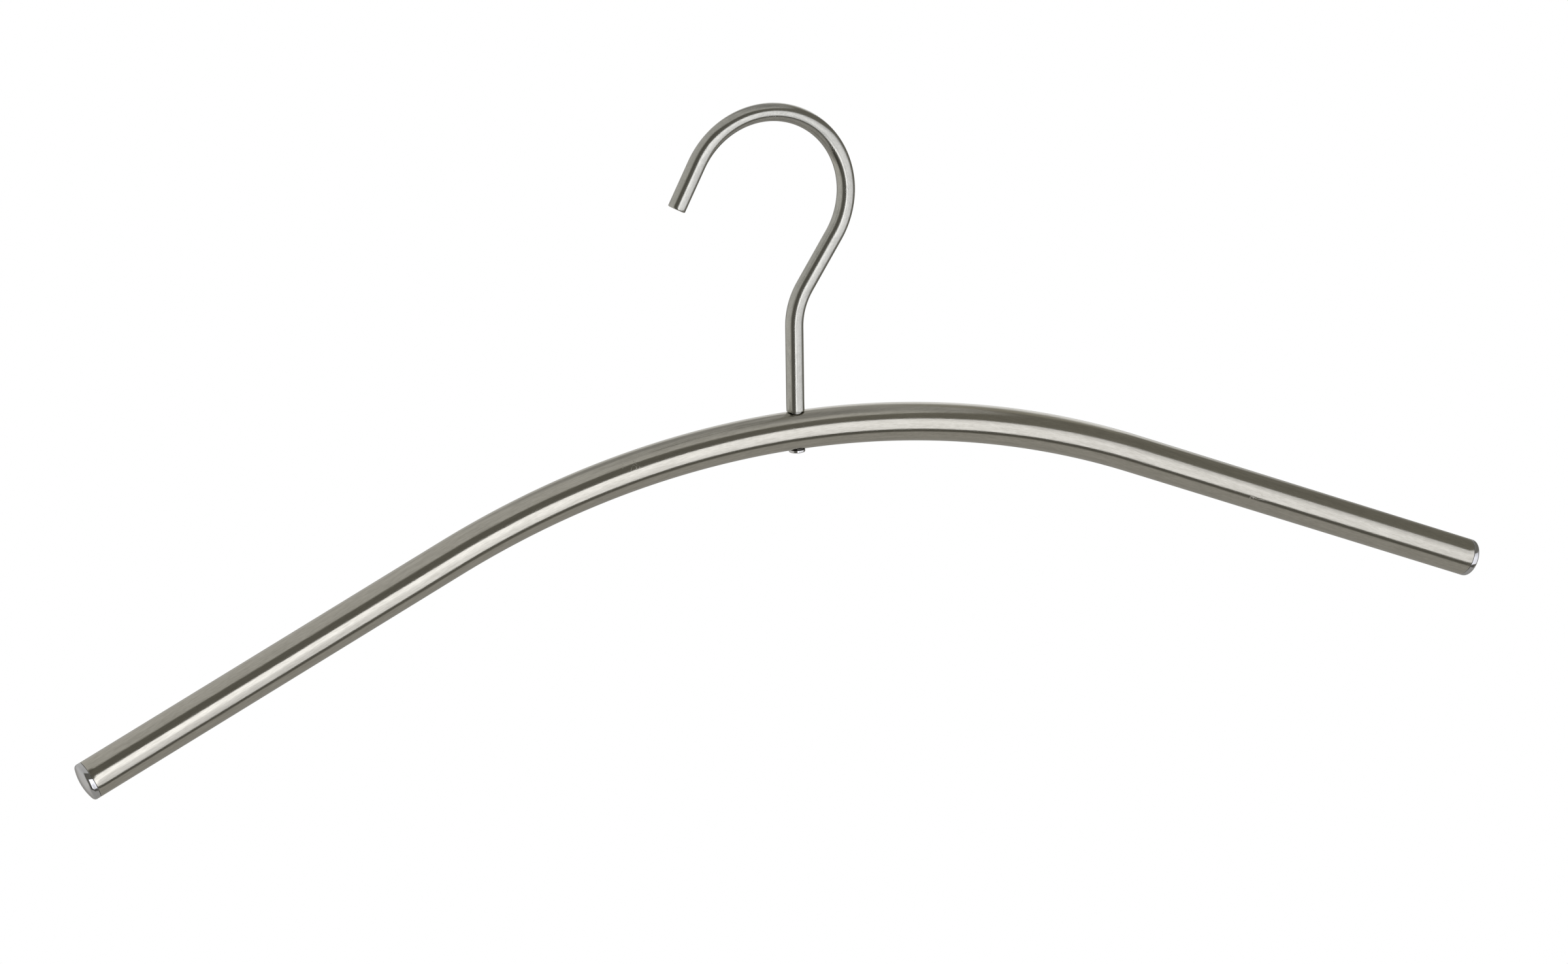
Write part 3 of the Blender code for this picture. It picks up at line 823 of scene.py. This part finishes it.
# The rod hook
# A 5.7 mm round steel rod, bent cold to a stem that leans a little to the right, a neck that leans further,
# a round loop and a straight tail. Its ends are cut square with rounded edges, and it keeps the drawn bar's
# satin skin. The radius is a hair under the real one, which keeps the loop inside the CAD model's box.
ROD_RADIUS = 0.00281
FOOT_EDGE = 0.0002
TAIL_EDGE = 0.0004
FOOT_LENGTH = 0.0010
STEM_LENGTH = 0.0267
STEM_LEAN = math.radians(1.5)
LEAN_BEND_RADIUS = 0.0955
NECK_BEND_RADIUS = 0.0223
NECK_ANGLE = math.radians(34.6)
NECK_LENGTH = 0.0182
LOOP_RADIUS = 0.0262
LOOP_ANGLE = math.radians(185.5)
TAIL_LENGTH = 0.0149
ROD_STEP = 0.0010
ROD_SIDES = 64
rod_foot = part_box("hook_rod")[0].z
rod_route = bent_line(
    (crown.x, rod_foot),
    math.pi / 2,
    [
        (FOOT_LENGTH, 0),
        (LEAN_BEND_RADIUS * STEM_LEAN, -LEAN_BEND_RADIUS),
        (STEM_LENGTH - FOOT_LENGTH - LEAN_BEND_RADIUS * STEM_LEAN, 0),
        (NECK_BEND_RADIUS * (NECK_ANGLE - STEM_LEAN), -NECK_BEND_RADIUS),
        (NECK_LENGTH, 0),
        (LOOP_RADIUS * LOOP_ANGLE, LOOP_RADIUS),
        (TAIL_LENGTH, 0),
    ],
    ROD_STEP,
)
rod_length = rod_route[2][-1]
inner = rod_route[2][1:-1, None]
profile = np.concatenate((
    [(0, 0)],
    rounded_corner((0, ROD_RADIUS), (0, 1), (1, 0), FOOT_EDGE, EDGE_STEPS),
    np.concatenate((inner, np.full_like(inner, ROD_RADIUS)), axis=-1),
    rounded_corner((rod_length, ROD_RADIUS), (1, 0), (0, -1), TAIL_EDGE, EDGE_STEPS),
    [(rod_length, 0)],
))
satin_rod = metal(
    "satin_rod",
    across=3400.0,
    along=1700.0,
    dark=(0.415, 0.413, 0.384),
    light=(0.525, 0.522, 0.487),
    smooth=0.13,
    rough=0.22,
    anisotropy=0.3,
    depth=0.000005,
    mark_scale=260.0,
    mark_share=0.56,
)
rod_mesh = bar_skin("hook_rod_satin", rod_route, profile, ROD_SIDES)
dress("hook_rod_satin", rod_mesh, satin_rod, "hook", "hook_rod")

# The swivel bush
# A plain steel sleeve through both walls of the tube, turned smooth. Its lower end is darkened with painted
# shade, where it sits in the shadowed gap over the screw's head. The rod's foot and the screw's head are
# tight on its ends, and the tube turns round it. Only its rims can be seen, in the narrow gaps under the rod
# and over the screw's head.
BUSH_RADIUS = 0.0021
BUSH_BORE_RADIUS = 0.0016
BUSH_TOP = 0.00612
BUSH_FOOT = 0.00600
BUSH_EDGE = 0.00006
BUSH_SIDES = 72
# Painted shade on the bush: none at the upper height, and this near-black colour at the lower one and below
SHADE_START_HEIGHT = crown.z + TUBE_RADIUS / 2
FULL_SHADE_HEIGHT = crown.z - TUBE_RADIUS / 2
PAINTED_SHADE_COLOUR = (0.07, 0.068, 0.06, 1)


def paint_lower_shade(material):
    """Paints shade into a metal's colour, darker lower down: none of the painted shade colour at the shade's
    start height, and all of it at the full shade height and below.
    """
    tree = material.node_tree
    base = tree.nodes["Principled BSDF"].inputs["Base Color"]
    place = add(tree, "ShaderNodeTexCoord")
    height = add(tree, "ShaderNodeSeparateXYZ")
    shade_share = add(tree, "ShaderNodeMapRange", From_Min=SHADE_START_HEIGHT, From_Max=FULL_SHADE_HEIGHT)
    shade_mix = add(tree, "ShaderNodeMix", data_type="RGBA")
    shade_mix.inputs[7].default_value = PAINTED_SHADE_COLOUR
    tree.links.new(place.outputs["Object"], height.inputs[0])
    tree.links.new(height.outputs["Z"], shade_share.inputs["Value"])
    tree.links.new(shade_share.outputs["Result"], shade_mix.inputs[0])
    tree.links.new(base.links[0].from_socket, shade_mix.inputs[6])
    tree.links.new(shade_mix.outputs[2], base)


bush_profile = np.concatenate((
    rounded_corner((BUSH_TOP, BUSH_RADIUS), (0, 1), (-1, 0), BUSH_EDGE, EDGE_STEPS),
    rounded_corner((-BUSH_FOOT, BUSH_RADIUS), (-1, 0), (0, -1), BUSH_EDGE, EDGE_STEPS),
    [(-BUSH_FOOT, BUSH_BORE_RADIUS), (BUSH_TOP, BUSH_BORE_RADIUS), (BUSH_TOP, BUSH_RADIUS - BUSH_EDGE)],
))
turned_steel = metal(
    "turned_steel",
    across=300.0,
    along=5000.0,
    dark=(0.30, 0.30, 0.285),
    light=(0.38, 0.38, 0.36),
    smooth=0.24,
    rough=0.36,
    anisotropy=0.0,
    depth=0.000003,
    mark_scale=400.0,
    mark_share=0.55,
)
# Painted shade over the bush's lower end, which sits in the dark gap over the screw's head
paint_lower_shade(turned_steel)
bush_mesh = turned_skin("swivel_bush_turned", round_rings(bush_profile, BUSH_SIDES), crown, (0, 0, 1))
dress("swivel_bush_turned", bush_mesh, turned_steel, "hook", "swivel_bush")

# The fixing screw
# A low round-headed screw with a hexagon socket, polished. It comes up through the bush into the rod's foot,
# and its head shows under the tube.
SCREW_RADIUS = 0.0015
SCREW_REACH = 0.02022
SCREW_TIP = 0.0003
HEAD_RADIUS = 0.00255
HEAD_HEIGHT = 0.00083
HEAD_EDGE = 0.00028
HEAD_TOP_EDGE = 0.00005
HEAD_EDGE_STEPS = 14
SOCKET_HALF = 0.00075
SOCKET_LIP = 0.00006
SOCKET_DEPTH = 0.0011
SOCKET_CONE = 0.00025
SCREW_SIDES = 72
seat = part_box("fixing_screw")[0].z + HEAD_HEIGHT
head_edge_middle = (HEAD_EDGE - HEAD_HEIGHT, HEAD_RADIUS - HEAD_EDGE)
round_profile = np.concatenate((
    [
        (SCREW_REACH, 0),
        (SCREW_REACH, SCREW_RADIUS - SCREW_TIP),
        (SCREW_REACH - SCREW_TIP, SCREW_RADIUS),
        (0, SCREW_RADIUS),
    ],
    rounded_corner((0, HEAD_RADIUS), (0, 1), (-1, 0), HEAD_TOP_EDGE, EDGE_STEPS),
    arc_points(head_edge_middle, HEAD_EDGE, math.pi / 2, math.pi, HEAD_EDGE_STEPS),
))
# The socket's rings are hexagons: half its width over the cosine of the angle from the nearest flat's middle
angle = np.linspace(0, 2 * math.pi, SCREW_SIDES, endpoint=False)
hexagon = 1 / np.cos(np.mod(angle, math.pi / 3) - math.pi / 6)
height, radius = round_rings(round_profile, SCREW_SIDES)
socket = np.array((
    (-HEAD_HEIGHT, SOCKET_HALF + SOCKET_LIP),
    (SOCKET_LIP - HEAD_HEIGHT, SOCKET_HALF),
    (SOCKET_DEPTH - HEAD_HEIGHT, SOCKET_HALF),
    (SOCKET_DEPTH + SOCKET_CONE - HEAD_HEIGHT, 0),
))
rings = np.concatenate((height, socket[:, 0])), np.concatenate((radius, socket[:, 1:] * hexagon))
polished_screw = metal(
    "polished_screw",
    across=300.0,
    along=4000.0,
    dark=(0.55, 0.55, 0.555),
    light=(0.63, 0.63, 0.635),
    smooth=0.08,
    rough=0.14,
    anisotropy=0.0,
    depth=0.000002,
    mark_scale=500.0,
    mark_share=0.55,
)
screw_mesh = turned_skin("fixing_screw_polished", rings, (crown.x, crown.y, seat), (0, 0, 1))
dress("fixing_screw_polished", screw_mesh, polished_screw, "hook", "fixing_screw")
